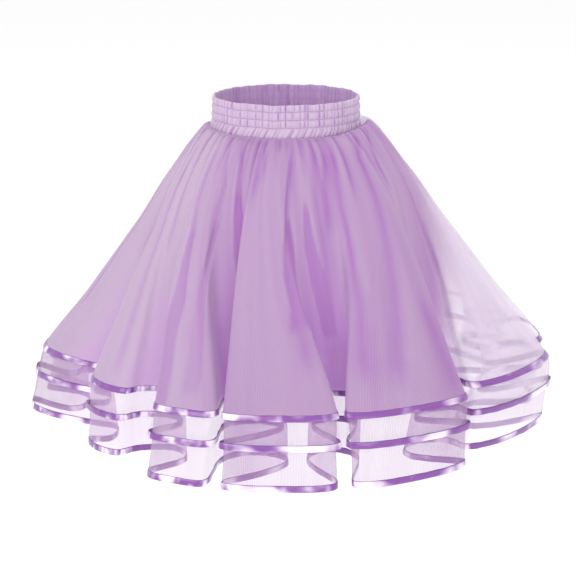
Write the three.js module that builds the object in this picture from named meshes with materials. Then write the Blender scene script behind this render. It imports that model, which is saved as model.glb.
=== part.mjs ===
// A gathered tulle skirt, filled out as if worn, with no wearer inside.
// Millimetres. +Z is up, the front faces -Y, +X is to the right of someone who looks at the
// front. The origin is the middle of the waistband, where the wearer's waist holds the skirt.
import * as THREE from "three";

// Waistband: a jersey strip gathered on elastic
const WAIST_WIDTH = 244; // outside of the rim, side to side
const WAIST_DEPTH = 180; // outside of the rim, front to back
const BAND_HEIGHT = 53;
const BAND_WALL = 2.2;
const BAND_PUCKERS = 50; // small vertical gathers all round
const PUCKER_DEPTH = 0.8;
const RUFFLE_SLANT = 0.6; // puckers that the lowest row leans sideways by
const SEAM_FLARE = 4; // how far the lowest row stands out at the skirt seam
const SEAM_THICKNESS = 5; // the seam allowance with all three gathered layers in it

// Cloth
const CLOTH = 1; // wall of one tulle panel
const SEAM_GAP = 0.4; // between neighbouring pieces
const RIBBON_WIDTH = 10;
const RIBBON_WALL = 1;

// How the cloth leaves the waist: nearly level over the gathers, then straight down the cone
const PUFF_ANGLE = 65; // degrees from straight down, at the seam
const PUFF_SKEW = 9; // more on the right side, less on the left
const PUFF_LENGTH = 46;
const GATHER_DEPTH = 1.2; // fine gathers just under the band, one to every two columns
const GATHER_LENGTH = 60; // they have faded this far down
const RIGHT_SIDE_DROP = 0.033; // the right side hangs this share longer than the left

// The flutes reach their full depth at this distance down the cloth
const FLUTE_LENGTH = 490;
const FLUTE_GROWTH = 1.7;

// The cone's angle from straight down: at the front and back, the change at both sides, and
// the change from left to right. Below the outer layer's hem the cloth hangs straighter.
const CONE = { front: 35, sides: 0.3, skew: 1.3 };
const HANG = { front: 16, sides: -12, skew: -9 };
const HANG_EASE = 25; // distance over which the cloth turns from the cone to its hang

// Each tulle layer: its cut length, and how deep it lies inside the outer layer
const LAYERS = [
  { name: "outer", length: 490, inside: 0 },
  { name: "middle", length: 537, inside: 2.2 },
  { name: "inner", length: 600, inside: 4.65 },
];

// One row per flute, from the left side round the front and then round the back. Angles are
// in degrees from the front centre. left and right: the two outer corners of the flute.
// neckLeft and neckRight: where its arms go in to the valleys. leftIn and rightIn: how far the
// corners stand inside the cone. recess: depth of the valley that follows. waist: where that
// valley starts at the waist, along the waist's ellipse.
const FLUTES = [
  { neckLeft: -106, left: -110, leftIn: 0, right: -101, rightIn: 0, neckRight: -98, recess: 60, waist: -106 },
  { neckLeft: -87, left: -94, leftIn: -6, right: -84, rightIn: 8, neckRight: -72, recess: 80, waist: -80 },
  { neckLeft: -60, left: -62, leftIn: 36, right: -47, rightIn: 36, neckRight: -45, recess: 85, waist: -58 },
  { neckLeft: -31, left: -34, leftIn: 10, right: -17, rightIn: 8, neckRight: -18, recess: 105, waist: -28 },
  { neckLeft: -1, left: -15.3, leftIn: 6, right: 12.3, rightIn: 6, neckRight: 8, recess: 112, waist: 6 },
  { neckLeft: 21, left: 14, leftIn: 6, right: 45, rightIn: 4, neckRight: 38, recess: 85, waist: 71 },
  { neckLeft: 52, left: 52, leftIn: 30, right: 81, rightIn: -8, neckRight: 69, recess: 90, waist: 97 },
  { neckLeft: 86, left: 89, leftIn: 6, right: 106, rightIn: 6, neckRight: 105, recess: 80, waist: 121 },
  { neckLeft: 117, left: 112, leftIn: 10, right: 137, rightIn: 12, neckRight: 130, recess: 95, waist: 147 },
  { neckLeft: 142, left: 139, leftIn: 8, right: 163, rightIn: 10, neckRight: 160, recess: 100, waist: 172 },
  { neckLeft: 171, left: 165, leftIn: 12, right: 191, rightIn: 8, neckRight: 183, recess: 105, waist: 197 },
  { neckLeft: 197, left: 193, leftIn: 10, right: 219, rightIn: 14, neckRight: 214, recess: 95, waist: 222 },
  { neckLeft: 225, left: 221, leftIn: 12, right: 246, rightIn: 14, neckRight: 240, recess: 80, waist: 242 },
];
const CROWN = 9; // how far a flute's middle bulges beyond its corners
const NECK_SHARE = 0.78; // share of the valley's depth that the necks have
const FRONT_FLUTES = { first: 1, count: 6 };

// Columns of one flute, in sixths of it: closer together at the two corners
const COLUMN_STEPS = [0, 0.7, 1, 1.4, 2, 2.6, 3, 3.3, 4, 5];
const RING_STEPS = 6;
const VALLEY_STEP = 5; // the step at the bottom of the valley, where the side seams go
const ROWS = [0, 25, 80, 180, 330, 490, 527]; // distances down the cloth

const TURN = 360;
const DEGREE = Math.PI / 180;
const SEAM_Z = -BAND_HEIGHT / 2 - SEAM_GAP;
const SEAM_NESTING = 0.7; // share of the layers' spacing that is left in the waist seam
const MITRE_SOFTNESS = 0.05; // with the longest move, keeps sharp corners from moving too far
const LONGEST_MOVE = 2.6;

// The ring of points that the hem's plan passes through: six to a flute
function hemPoints() {
  const points = [];
  FLUTES.forEach((flute, i) => {
    const before = FLUTES.at(i - 1);
    const after = FLUTES[(i + 1) % FLUTES.length];
    const waistBefore = before.waist - (i === 0 ? TURN : 0);
    const neckAfter = after.neckLeft + (i === FLUTES.length - 1 ? TURN : 0);
    const crownIn = (flute.leftIn + flute.rightIn) / 2 - CROWN;
    const corners = [
      [flute.neckLeft, before.recess * NECK_SHARE],
      [flute.left, flute.leftIn],
      [(flute.left + flute.right) / 2, crownIn],
      [flute.right, flute.rightIn],
      [flute.neckRight, flute.recess * NECK_SHARE],
      [(flute.neckRight + neckAfter) / 2, flute.recess],
    ];
    corners.forEach(([hem, recess], k) => {
      const share = (k + 1) / corners.length;
      points.push([hem, recess, waistBefore + (flute.waist - waistBefore) * share]);
    });
  });
  return points;
}

const RING = hemPoints();

// Hem angle, recess and waist angle at a place along the ring, on a smooth curve through it
function alongRing(place) {
  const start = Math.floor(place);
  const f = place - start;
  const near = [-1, 0, 1, 2].map((step) => {
    const index = start + step;
    const turns = Math.floor(index / RING.length);
    const [hem, recess, waist] = RING[index - turns * RING.length];
    return [hem + TURN * turns, recess, waist + TURN * turns];
  });
  const [a, b, c, d] = near;
  return b.map((_, k) => {
    const square = 2 * a[k] - 5 * b[k] + 4 * c[k] - d[k];
    const cube = 3 * b[k] - a[k] - 3 * c[k] + d[k];
    return 0.5 * (2 * b[k] + (c[k] - a[k]) * f + square * f * f + cube * f * f * f);
  });
}

// Angle seen from the axis of a point on the waist's ellipse
function ellipseToPolar(degrees) {
  const x = WAIST_WIDTH * Math.sin(degrees * DEGREE);
  const y = WAIST_DEPTH * Math.cos(degrees * DEGREE);
  const polar = Math.atan2(x, y) / DEGREE;
  return polar + TURN * Math.round((degrees - polar) / TURN);
}

// Radius of the seam's ellipse at an angle
function seamRadius(angle) {
  const a = WAIST_WIDTH / 2 + SEAM_FLARE;
  const b = WAIST_DEPTH / 2 + SEAM_FLARE;
  return (a * b) / Math.hypot(b * Math.sin(angle), a * Math.cos(angle));
}

// Angle from straight down, in radians, on the side of the skirt that side tells
function slope(table, side) {
  return (table.front + table.sides * side * side + table.skew * side) * DEGREE;
}

// A point of the outer layer's surface at a place along the ring, a distance down the cloth.
// Below its hem the surface goes on for the longer layers.
function surfacePoint(place, down) {
  const [hem, recess, waist] = alongRing(place);
  const share = down / FLUTE_LENGTH;
  const eased = Math.min(share, 1) ** 2 * (3 - 2 * Math.min(share, 1));
  const spread = (eased + Math.min(share, 1)) / 2;
  const top = ellipseToPolar(waist);
  const angle = (top + (hem - top) * spread) * DEGREE;
  const side = Math.sin(angle);

  const cone = slope(CONE, side);
  const puff = (PUFF_ANGLE + PUFF_SKEW * side) * DEGREE;
  const sag = 1 + RIGHT_SIDE_DROP * ((1 + side) / 2) ** 2;
  const length = Math.min(down, FLUTE_LENGTH) * sag;
  const below = Math.max(down - FLUTE_LENGTH, 0) * sag;
  const hang = slope(HANG, side) + (cone - slope(HANG, side)) * Math.exp(-below / HANG_EASE);
  const puffed = PUFF_LENGTH * (1 - Math.exp(-length / PUFF_LENGTH));
  const turnOut = (Math.sin(puff) - Math.sin(cone)) * puffed;
  const turnDown = (Math.cos(puff) - Math.cos(cone)) * puffed;
  const out = length * Math.sin(cone) + turnOut + below * Math.sin(hang);
  const drop = length * Math.cos(cone) + turnDown + below * Math.cos(hang);
  const radius = seamRadius(angle) + out - recess * Math.max(share, 0) ** FLUTE_GROWTH;
  return new THREE.Vector3(radius * side, -radius * Math.cos(angle), SEAM_Z - drop);
}

// Places along the ring of every column, from the valley where the front panel begins
function columnPlaces() {
  const steps = COLUMN_STEPS.length;
  const skip = steps - COLUMN_STEPS.indexOf(VALLEY_STEP);
  return Array.from({ length: FLUTES.length * steps }, (_, k) => {
    const flute = FRONT_FLUTES.first + Math.floor((k - skip + steps) / steps) - 1;
    return flute * RING_STEPS + COLUMN_STEPS[(k - skip + steps) % steps];
  });
}

// Rows of a layer: the shared ones, then the two edges of its ribbon
function layerRows(layer) {
  const ribbonTop = layer.length - RIBBON_WIDTH;
  return [...ROWS.filter((down) => down < ribbonTop), ribbonTop, layer.length];
}

// The cloth's points as [column][row], with every second column of the fine gathers raised
function clothGrid(rows) {
  return columnPlaces().map((place, column) =>
    rows.map((down) => {
      const point = surfacePoint(place, down);
      const fade = Math.max(0, 1 - down / GATHER_LENGTH) * Math.min(1, down / ROWS[1]);
      const outwards = new THREE.Vector3(point.x, point.y, 0).normalize();
      return point.addScaledVector(outwards, (column % 2 ? -1 : 1) * GATHER_DEPTH * fade);
    }),
  );
}

// For each point, the move that takes every facet around it inwards by 1 mm, as nearly as one
// move can. The facets are the same triangles that wallMesh makes.
function inwardMitres(grid) {
  const rows = grid[0].length;
  const facets = grid.map((column, k) => {
    const next = grid[(k + 1) % grid.length];
    return column.slice(0, rows - 1).map((point, row) => {
      const upper = facetNormal(point, column[row + 1], next[row]);
      const lower = facetNormal(next[row], column[row + 1], next[row + 1]);
      return [upper, lower];
    });
  });
  return grid.map((column, k) =>
    column.map((_, row) => {
      const around = [facets[k], facets.at(k - 1)].flatMap((strip) => [
        ...(strip[row] ?? []),
        ...(strip[row - 1] ?? []),
      ]);
      return commonMove(around);
    }),
  );
}

// Unit normal of a facet, pointing into the skirt
function facetNormal(a, b, c) {
  return c.clone().sub(a).cross(b.clone().sub(a)).normalize();
}

// The least-squares move whose part along each of the normals is 1
function commonMove(normals) {
  const [xx, xy, xz, yy, yz, zz] = [[0, 0], [0, 1], [0, 2], [1, 1], [1, 2], [2, 2]].map(([i, j]) =>
    normals.reduce((sum, n) => sum + n.getComponent(i) * n.getComponent(j), i === j ? MITRE_SOFTNESS : 0),
  );
  const total = normals.reduce((sum, n) => sum.add(n), new THREE.Vector3());
  const products = new THREE.Matrix3(xx, xy, xz, xy, yy, yz, xz, yz, zz);
  return total.applyMatrix3(products.invert()).clampLength(0, LONGEST_MOVE);
}

// The grid moved inwards: by a little less at the waist, where the layers meet in the seam
function nestedFace(grid, mitres, rows, inside, extra) {
  return grid.map((column, k) =>
    column.map((point, row) => {
      const spread = Math.min(1, rows[row] / GATHER_LENGTH);
      const depth = inside * (SEAM_NESTING + (1 - SEAM_NESTING) * spread) + extra;
      return point.clone().addScaledVector(mitres[k][row], depth);
    }),
  );
}

// Draws a panel's first and last columns in by half the seam gap
function trimSides(face) {
  const trimmed = face.map((column) => column.map((point) => point.clone()));
  const last = face.length - 1;
  for (const [end, neighbour] of [[0, 1], [last, last - 1]]) {
    face[end].forEach((point, row) => {
      const inwards = face[neighbour][row].clone().sub(point).setLength(SEAM_GAP / 2);
      trimmed[end][row].add(inwards);
    });
  }
  return trimmed;
}

// A closed wall between an outer and an inner grid of points. Both faces of a twisted quad are
// split along the same diagonal, so that they can't cross. round: the last column joins the
// first.
function wallMesh(name, outer, inner, round) {
  const columns = outer.length;
  const loop = outer.map((column, k) => [...column, ...[...inner[k]].reverse()]);
  const size = loop[0].length;
  const positions = loop.flat().flatMap((point) => point.toArray());
  const index = [];
  const at = (column, k) => (column % columns) * size + (k % size);
  const spans = round ? columns : columns - 1;
  for (let column = 0; column < spans; column += 1) {
    for (let k = 0; k < size; k += 1) {
      const [a, b] = [at(column, k), at(column + 1, k)];
      const [c, d] = [at(column, k + 1), at(column + 1, k + 1)];
      const onInnerFace = k >= outer[0].length;
      index.push(...(onInnerFace ? [a, c, d, a, d, b] : [a, c, b, b, c, d]));
    }
  }
  if (!round) {
    for (let k = 0; k < size / 2 - 1; k += 1) {
      const [a, b, c, d] = [k, k + 1, size - 1 - k, size - 2 - k];
      index.push(a, c, b, b, c, d);
      const end = (columns - 1) * size;
      index.push(end + a, end + b, end + c, end + b, end + d, end + c);
    }
  }
  const geometry = new THREE.BufferGeometry();
  geometry.setAttribute("position", new THREE.Float32BufferAttribute(positions, 3));
  geometry.setIndex(index);
  const mesh = new THREE.Mesh(geometry, new THREE.MeshStandardMaterial());
  mesh.name = name;
  return mesh;
}

// One tulle layer: a front panel, a back panel, and the satin ribbon on its outer face
function layerMeshes(layer) {
  const rows = layerRows(layer);
  const grid = clothGrid(rows);
  const mitres = inwardMitres(grid);
  const face = (extra) => nestedFace(grid, mitres, rows, layer.inside, extra);
  const [outer, inner] = [face(0), face(CLOTH)];
  const seam = FRONT_FLUTES.count * COLUMN_STEPS.length;
  const panel = (side, columns) =>
    wallMesh(`${layer.name}_layer_${side}`, trimSides(columns(outer)), trimSides(columns(inner)), false);
  const edge = (lift) => face(-lift).map((column) => column.slice(-2));
  return [
    panel("front", (wall) => wall.slice(0, seam + 1)),
    panel("back", (wall) => [...wall.slice(seam), wall[0]]),
    wallMesh(`${layer.name}_hem_ribbon`, edge(SEAM_GAP + RIBBON_WALL), edge(SEAM_GAP), true),
  ];
}

// Heights down the band and how far each stands out: four puffed rows between stitch lines
const BAND_PROFILE = [
  { down: 0, out: 0, puckered: 0.5 },
  { down: 5.5, out: 1.8, puckered: 1 },
  { down: 11.3, out: 0.4, puckered: 0.4 },
  { down: 18, out: 2.2, puckered: 1 },
  { down: 25, out: 0.6, puckered: 0.4 },
  { down: 31.5, out: 2.6, puckered: 1 },
  { down: 38, out: 1.2, puckered: 0.4 },
  { down: 45.5, out: 3.8, puckered: 1.6 },
  { down: BAND_HEIGHT, out: SEAM_FLARE, puckered: 0.6 },
];

function bandPoint(angle, inset, down) {
  const a = WAIST_WIDTH / 2 - inset;
  const b = WAIST_DEPTH / 2 - inset;
  return new THREE.Vector3(a * Math.sin(angle), -b * Math.cos(angle), BAND_HEIGHT / 2 - down);
}

function waistband() {
  const columns = Array.from({ length: BAND_PUCKERS * 2 }, (_, k) => k);
  const pitch = Math.PI / BAND_PUCKERS;
  const outer = columns.map((k) =>
    BAND_PROFILE.map(({ down, out, puckered }, row) => {
      const slant = row === BAND_PROFILE.length - 2 ? RUFFLE_SLANT : 0;
      const pucker = (k % 2 ? 1 : -1) * PUCKER_DEPTH * puckered;
      return bandPoint((k + slant) * pitch, -out - pucker, down);
    }),
  );
  const top = BAND_PROFILE[0].down;
  const inner = columns.map((k) => {
    const seamInset = SEAM_THICKNESS - SEAM_FLARE;
    return [bandPoint(k * pitch, BAND_WALL, top), bandPoint(k * pitch, seamInset, BAND_HEIGHT)];
  });
  return wallMesh("waistband", outer, inner, true);
}

function skirt() {
  const group = new THREE.Group();
  group.name = "tulle_skirt";
  group.add(waistband());
  LAYERS.forEach((layer) => group.add(...layerMeshes(layer)));
  return group;
}

export default skirt();
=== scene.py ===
# %% [markdown]
# The looks of a gathered tulle skirt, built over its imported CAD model.
# The real skirt is three layers of sheer net, each longer than the one over it, all gathered
# into one wide elastic waistband, and each hem is bound with a satin ribbon. The CAD model
# holds its size and its main flutes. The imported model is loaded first, because every piece
# made here has to lie on the solid that it stands for.

# %% Load the frame
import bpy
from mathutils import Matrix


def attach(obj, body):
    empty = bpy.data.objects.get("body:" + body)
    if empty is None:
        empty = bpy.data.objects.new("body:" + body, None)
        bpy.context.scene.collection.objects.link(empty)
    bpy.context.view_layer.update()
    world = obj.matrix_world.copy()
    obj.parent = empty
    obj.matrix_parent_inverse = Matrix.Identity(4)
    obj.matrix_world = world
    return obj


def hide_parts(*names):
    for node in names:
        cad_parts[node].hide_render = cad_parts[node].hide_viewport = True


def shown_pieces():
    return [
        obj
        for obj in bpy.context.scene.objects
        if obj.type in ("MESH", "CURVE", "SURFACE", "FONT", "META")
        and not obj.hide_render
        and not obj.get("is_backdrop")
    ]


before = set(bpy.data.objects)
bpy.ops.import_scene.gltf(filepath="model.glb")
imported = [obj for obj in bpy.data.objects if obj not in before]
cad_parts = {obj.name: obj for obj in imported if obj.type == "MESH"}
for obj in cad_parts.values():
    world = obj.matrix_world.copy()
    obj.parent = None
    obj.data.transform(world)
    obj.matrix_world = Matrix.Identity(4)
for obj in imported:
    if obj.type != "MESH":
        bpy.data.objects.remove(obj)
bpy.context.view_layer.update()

# %% [markdown]
# The camera stands where the photographer stood: 3.7 m in front of the skirt and a little
# above it, so that the waist opens into a narrow ellipse. A long lens keeps the near and far
# hems almost the same size. All lengths in this file are metres, and the shared tables of
# the skirt's form are in millimetres and degrees, like the maker's pattern.

# %% Camera
import bpy
import numpy as np
from mathutils import Vector

CAMERA_PLACE = (0.0, -3.7, 0.7962)
CAMERA_AIM = (0.0034, 0.0, -0.3128)
CAMERA_LENS = 140.05
SENSOR_WIDTH = 36.0


def new_object(name, data):
    made = bpy.data.objects.new(name, data)
    bpy.context.scene.collection.objects.link(made)
    return made


def look_at_skirt(thing, place):
    thing.location = place
    aim = Vector(CAMERA_AIM) - Vector(place)
    thing.rotation_euler = aim.to_track_quat("-Z", "Y").to_euler()


def add_camera():
    lens = bpy.data.cameras.new("camera")
    lens.lens = CAMERA_LENS
    lens.sensor_width = SENSOR_WIDTH
    camera = new_object("camera", lens)
    look_at_skirt(camera, CAMERA_PLACE)
    bpy.context.scene.camera = camera
    return camera


camera = add_camera()
print("camera lens in millimetres:", round(camera.data.lens, 1))

# %% [markdown]
# Sheer cloth shows its folds best in broad, soft light from one side, with the pale room
# around it filling the shadows. The skirt hangs at a wearer's waist, so the floor lies well
# below the hem and only a faint shadow reaches it. The colours are shown as they are, with
# the standard view, because the lilac is pale and a filmic view would grey it.

# %% Studio
FLOOR_HEIGHT = -1.0
FLOOR_REACH = 30.0
FLOOR_WHITE = 0.96
ROOM_LIGHT = 1.0
CLEAR_LAYERS = 48  # sheer surfaces that one ray of sight may pass

LAMPS = {
    "key_lamp": {"place": (-2.6, -2.5, 1.8), "width": 2.4, "power": 46.0},
    "fill_lamp": {"place": (0.9, -3.4, 0.7), "width": 2.2, "power": 27.0},
    "top_lamp": {"place": (0.4, 1.2, 3.0), "width": 2.0, "power": 30.0},
}


def add_lamp(name, place, width, power):
    light = bpy.data.lights.new(name, "AREA")
    light.shape = "DISK"
    light.size = width
    light.energy = power
    look_at_skirt(new_object(name, light), place)


def add_room():
    room = bpy.data.worlds.new("pale_room")
    room.use_nodes = True
    background = room.node_tree.nodes["Background"]
    background.inputs["Color"].default_value = (1, 1, 1, 1)
    background.inputs["Strength"].default_value = ROOM_LIGHT
    bpy.context.scene.world = room


def add_floor():
    reach, height = FLOOR_REACH, FLOOR_HEIGHT
    corners = [(-reach, -reach), (reach, -reach), (reach, reach), (-reach, reach)]
    mesh = bpy.data.meshes.new("floor")
    mesh.from_pydata([(x, y, height) for x, y in corners], [], [(0, 1, 2, 3)])
    floor = new_object("floor", mesh)
    paint = bpy.data.materials.new("pale_floor")
    paint.use_nodes = True
    shader = paint.node_tree.nodes["Principled BSDF"]
    shader.inputs["Base Color"].default_value = (FLOOR_WHITE, FLOOR_WHITE, FLOOR_WHITE, 1)
    shader.inputs["Roughness"].default_value = 1.0
    mesh.materials.append(paint)
    floor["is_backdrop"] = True


for name, lamp in LAMPS.items():
    add_lamp(name, **lamp)
add_room()
add_floor()
bpy.context.scene.view_settings.view_transform = "Standard"
bpy.context.scene.cycles.transparent_max_bounces = CLEAR_LAYERS
print("lamps:", len(LAMPS))

# %% [markdown]
# The form of the cloth is one surface that all three layers share. Seen from above, the hem
# is a ring of thirteen deep flutes, each with two outer corners, a crown between them and a
# valley after it. A smooth curve runs through those points, and every line of the cloth runs
# from a place on the waist down to a place on that ring. These are the same values as in the
# CAD source, so the shells made from them lie on the solids.

# %% The flutes
FLUTES = [  # neck left, left, left in, right, right in, neck right, recess, waist
    (-106, -110, 0, -101, 0, -98, 60, -106),
    (-87, -94, -6, -84, 8, -72, 80, -80),
    (-60, -62, 36, -47, 36, -45, 85, -58),
    (-31, -34, 10, -17, 8, -18, 105, -28),
    (-1, -15.3, 6, 12.3, 6, 8, 112, 6),
    (21, 14, 6, 45, 4, 38, 85, 71),
    (52, 52, 30, 81, -8, 69, 90, 97),
    (86, 89, 6, 106, 6, 105, 80, 121),
    (117, 112, 10, 137, 12, 130, 95, 147),
    (142, 139, 8, 163, 10, 160, 100, 172),
    (171, 165, 12, 191, 8, 183, 105, 197),
    (197, 193, 10, 219, 14, 214, 95, 222),
    (225, 221, 12, 246, 14, 240, 80, 242),
]
CROWN = 9
NECK_SHARE = 0.78
STEPS = 6  # ring points to a flute
TURN = 360


def hem_ring():
    ring = []
    for i, (neck_left, left, left_in, right, right_in, neck_right, recess, waist) in enumerate(FLUTES):
        before = FLUTES[i - 1]
        after = FLUTES[(i + 1) % len(FLUTES)]
        waist_before = before[-1] - (TURN if i == 0 else 0)
        neck_after = after[0] + (TURN if i == len(FLUTES) - 1 else 0)
        corners = [
            (neck_left, before[-2] * NECK_SHARE),
            (left, left_in),
            ((left + right) / 2, (left_in + right_in) / 2 - CROWN),
            (right, right_in),
            (neck_right, recess * NECK_SHARE),
            ((neck_right + neck_after) / 2, recess),
        ]
        for k, (hem, inset) in enumerate(corners):
            share = (k + 1) / STEPS
            ring.append((hem, inset, waist_before + (waist - waist_before) * share))
    return np.array(ring, float)


RING = hem_ring()


def along_ring(place):
    """Hem angle, recess and waist angle on the smooth curve through the ring's points."""
    start = np.floor(place).astype(int)
    f = (place - start)[..., None]
    near = []
    for step in (-1, 0, 1, 2):
        turns, index = np.divmod(start + step, len(RING))
        point = RING[index]
        point[..., [0, 2]] += TURN * turns[..., None]
        near.append(point)
    a, b, c, d = near
    square = 2 * a - 5 * b + 4 * c - d
    cube = 3 * b - a - 3 * c + d
    curve = (2 * b + (c - a) * f + square * f**2 + cube * f**3) / 2
    return np.moveaxis(curve, -1, 0)


print("flutes:", len(FLUTES), "points on the ring:", len(RING))

# %% [markdown]
# A line of cloth leaves the band almost level, because the gathers push it out, and then
# settles into a cone. The cone is a little fuller on one side. Below the outer hem there is
# less cloth underneath, so the two longer layers turn down and hang straighter.

# %% The surface of the cloth
WAIST_WIDTH = 244
WAIST_DEPTH = 180
BAND_HEIGHT = 53
SEAM_FLARE = 4
SEAM_GAP = 0.4
SEAM_DROP = -BAND_HEIGHT / 2 - SEAM_GAP
PUFF = {"angle": 65, "skew": 9, "length": 46}
CONE = {"front": 35, "sides": 0.3, "skew": 1.3}
HANG = {"front": 16, "sides": -12, "skew": -9}
HANG_EASE = 25
RIGHT_SIDE_DROP = 0.033
FLUTE_LENGTH = 490
FLUTE_GROWTH = 1.7
MM = 0.001


def waist_to_polar(degrees):
    angle = np.radians(degrees)
    polar = np.degrees(np.arctan2(WAIST_WIDTH * np.sin(angle), WAIST_DEPTH * np.cos(angle)))
    return polar + TURN * np.round((degrees - polar) / TURN)


def seam_radius(angle):
    a = WAIST_WIDTH / 2 + SEAM_FLARE
    b = WAIST_DEPTH / 2 + SEAM_FLARE
    return a * b / np.hypot(b * np.sin(angle), a * np.cos(angle))


def slope(table, side):
    return np.radians(table["front"] + table["sides"] * side**2 + table["skew"] * side)


def cloth_surface(place, down):
    """Points of the cloth, in millimetres, for columns of places and rows of distances."""
    place, down = np.broadcast_arrays(place[:, None], down[None, :])
    hem, recess, waist = along_ring(place)
    share = np.clip(down / FLUTE_LENGTH, 0, None)
    held = np.minimum(share, 1)
    spread = (held**2 * (3 - 2 * held) + held) / 2
    top = waist_to_polar(waist)
    angle = np.radians(top + (hem - top) * spread)
    side = np.sin(angle)
    cone = slope(CONE, side)
    puff = np.radians(PUFF["angle"] + PUFF["skew"] * side)
    sag = 1 + RIGHT_SIDE_DROP * ((1 + side) / 2) ** 2
    length = np.minimum(down, FLUTE_LENGTH) * sag
    below = np.maximum(down - FLUTE_LENGTH, 0) * sag
    hang = slope(HANG, side) + (cone - slope(HANG, side)) * np.exp(-below / HANG_EASE)
    puffed = PUFF["length"] * (1 - np.exp(-length / PUFF["length"]))
    out = length * np.sin(cone) + (np.sin(puff) - np.sin(cone)) * puffed + below * np.sin(hang)
    drop = length * np.cos(cone) + (np.cos(puff) - np.cos(cone)) * puffed + below * np.cos(hang)
    radius = seam_radius(angle) + out - recess * share**FLUTE_GROWTH
    return np.stack([radius * side, -radius * np.cos(angle), SEAM_DROP - drop], -1)


sample = cloth_surface(np.arange(0.0, len(RING)), np.array([0.0, FLUTE_LENGTH]))
print("width at the waist seam and at the outer hem, mm:", np.ptp(sample[..., 0], axis=0).round())

# %% [markdown]
# The gathers are what makes the skirt. Sewing them down would take a cloth simulation with
# thousands of tiny pleats, so they are placed instead, as troughs that start at the
# seam and fade down the cloth. Cloth that folds over is steep on one side and soft on the
# other, so every trough has its own reach to the left and to the right. Short gathers crowd
# under the band and are scattered with a fixed seed. Long folds run down the flutes: those in
# front follow lines placed where they show, and those behind are scattered. A low crest stands
# beside each steep side, where the cloth turns over and catches the light.

# %% Gathers and folds
GATHER_SEED = 21
GATHERS = {"count": 92, "jitter": 0.44}
GATHER_SHAPE = {"depth": (1.6, 5.4), "width": (0.7, 1.5), "length": (30, 180)}
FOLDS = {"count": 46, "jitter": 0.4, "depth": (2.0, 4.5), "start": (10, 120), "end": (300, 500)}
GATHER_PINCH = 1.25  # 2 is a round trough, 1 a sharp crease
GATHER_RISE = 8  # distance from the seam to a gather's full depth
GATHER_SKEW = (0.5, 1.0)
CREST_HEIGHT = 0.2  # of the fold's depth
CREST_PLACE = 2.3  # from the fold's line, in reaches of its steep side
FOLD_EASE = 60
FOLD_DRIFT = 0.6  # ring places that a hidden fold wanders at its top
FOLD_ROOM = 16  # millimetres of cloth between two ring places
STEEP_REACH = 0.13
SOFT_REACH = (0.2, 0.4)

# each fold's line as places and distances down, its depth, and its reach to the left and right
FRONT_FOLDS = [
    ([(7.4, 0), (8.4, 140), (8.2, 420)], 3.5, 0.14, 0.3),
    ([(10.0, 0), (10.6, 120), (10.3, 300)], 3.0, 0.3, 0.14),
    ([(12.0, 40), (13.1, 130), (13.0, 300)], 3.2, 0.3, 0.14),
    ([(14.9, 0), (14.3, 70), (14.1, 130)], 3.0, 0.14, 0.24),
    ([(13.9, 50), (14.4, 128), (14.5, 230), (14.3, 480)], 3.4, 0.16, 0.3),
    ([(15.9, 10), (16.2, 120), (16.0, 260)], 2.6, 0.13, 0.26),
    ([(19.3, 0), (19.5, 128), (19.8, 196), (19.5, 300)], 4.0, 0.14, 0.28),
    ([(20.3, 20), (20.6, 120)], 2.4, 0.13, 0.22),
    ([(20.7, 0), (22.05, 100), (21.65, 216), (20.95, 270), (20.1, 400)], 2.4, 0.32, 0.16),
    ([(22.6, 0), (23.3, 60), (23.5, 180)], 3.6, 0.13, 0.3),
    ([(25.2, 0), (25.4, 80), (25.3, 150)], 3.6, 0.26, 0.13),
    ([(26.5, 0), (25.9, 40), (25.75, 110)], 3.0, 0.13, 0.24),
    ([(28.8, 0), (28.4, 44), (27.8, 120), (26.9, 208), (26.55, 430)], 3.8, 0.13, 0.34),
    ([(29.95, 0), (29.6, 124), (29.3, 470)], 3.4, 0.16, 0.3),
    ([(30.7, 10), (30.05, 100), (29.8, 210)], 3.6, 0.13, 0.26),
    ([(31.2, 0), (30.8, 90), (30.7, 140), (31.25, 300), (31.4, 450)], 3.8, 0.28, 0.13),
    ([(31.6, 10), (31.4, 150)], 2.6, 0.13, 0.2),
    ([(33.7, 0), (32.4, 60), (32.2, 200), (31.9, 404), (31.95, 468)], 4.0, 0.3, 0.13),
    ([(35.3, 0), (33.95, 44), (33.6, 80), (33.75, 150)], 3.6, 0.3, 0.14),
    ([(32.6, 290), (32.75, 500)], 3.0, 0.13, 0.3),
    ([(36.4, 0), (36.0, 150), (36.2, 330)], 3.0, 0.14, 0.3),
]


def ease(share):
    share = np.clip(share, 0, 1)
    return share**2 * (3 - 2 * share)


def scattered(count, jitter, whole, chance):
    step = whole / count
    return (np.arange(count) + chance.uniform(-jitter, jitter, count)) * step


def gap_round(value, centre, whole):
    return (value - centre + whole / 2) % whole - whole / 2


def trough(gap, left, right, pinch):
    """1 at the line of a fold, falling to 0 over its reach on either side."""
    return np.exp(-(np.abs(gap / np.where(gap < 0, left, right)) ** pinch))


def fold_shape(gap, left, right):
    """A trough, with a low crest beside its steep side where the cloth turns over."""
    steep = min(left, right)
    side = -1 if left < right else 1
    crest = np.exp(-((gap / steep - side * CREST_PLACE) ** 2))
    return CREST_HEIGHT * crest - trough(gap, left, right, GATHER_PINCH)


def short_gathers(waist, down, chance):
    height = np.zeros(np.broadcast(waist, down).shape)
    for centre in scattered(GATHERS["count"], GATHERS["jitter"], TURN, chance):
        depth, width, length = (chance.uniform(*reach) for reach in GATHER_SHAPE.values())
        skew = chance.uniform(*GATHER_SKEW)
        left, right = (width * skew, width) if chance.random() < 0.5 else (width, width * skew)
        across = fold_shape(gap_round(waist, centre, TURN), left, right)
        height += depth * across * ease(down / GATHER_RISE) * ease(1 - down / length)
    return height


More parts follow.
